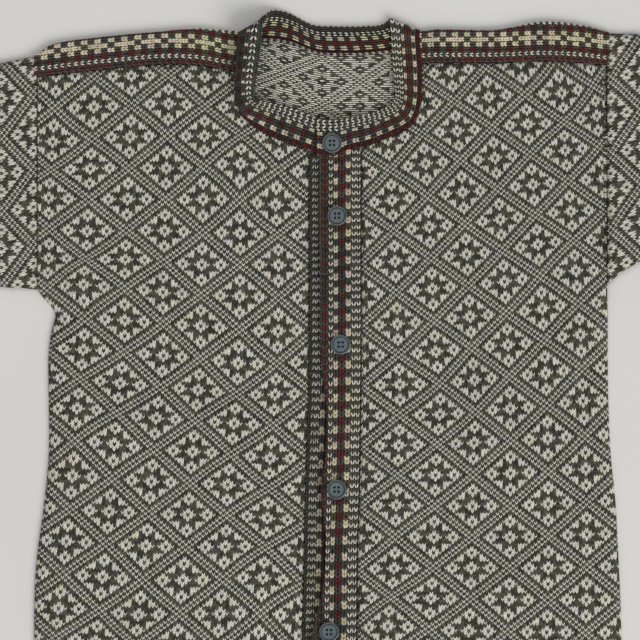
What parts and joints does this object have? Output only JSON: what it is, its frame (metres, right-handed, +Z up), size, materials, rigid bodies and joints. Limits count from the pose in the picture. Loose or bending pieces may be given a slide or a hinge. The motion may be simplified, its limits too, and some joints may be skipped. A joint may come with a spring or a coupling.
{
  "type": "hand-knit cardigan",
  "caption": "Drop-shouldered, buttoned wool cardigan in two-colour stranded knitting, laid flat on its back with its sleeves out.",
  "frame": {"origin": "centre of the bounding box in plan, on the surface that the cardigan lies on", "axes": "+X towards the wearer's left cuff, +Y from the hem to the neck, +Z up from the surface, out of the buttoned front"},
  "size_m": [1.63, 0.7039, 0.0198],
  "materials": {
    "stranded_wool": "matte two-colour stranded knitting in natural and charcoal heather wool, slightly felted",
    "band_wool": "matte stranded knitting in cream, dark red and grey wool, coarser than the body",
    "ribbed_wool": "matte ribbed knitting in charcoal heather wool",
    "button_plastic": "semi-gloss slate blue-grey plastic with a dished face"
  },
  "bodies": {
    "root": {"back": "stranded_wool", "right_front": "stranded_wool", "left_front": "stranded_wool", "right_sleeve": "stranded_wool", "left_sleeve": "stranded_wool", "right_shoulder_strap": "band_wool", "left_shoulder_strap": "band_wool", "neckband": "band_wool", "button_band": "band_wool", "buttonhole_band": "band_wool", "back_welt": "ribbed_wool", "right_front_welt": "ribbed_wool", "left_front_welt": "ribbed_wool", "right_cuff": "ribbed_wool", "left_cuff": "ribbed_wool", "button_1": "button_plastic", "button_2": "button_plastic", "button_3": "button_plastic", "button_4": "button_plastic", "button_5": "button_plastic"}
  },
  "joints": []
}
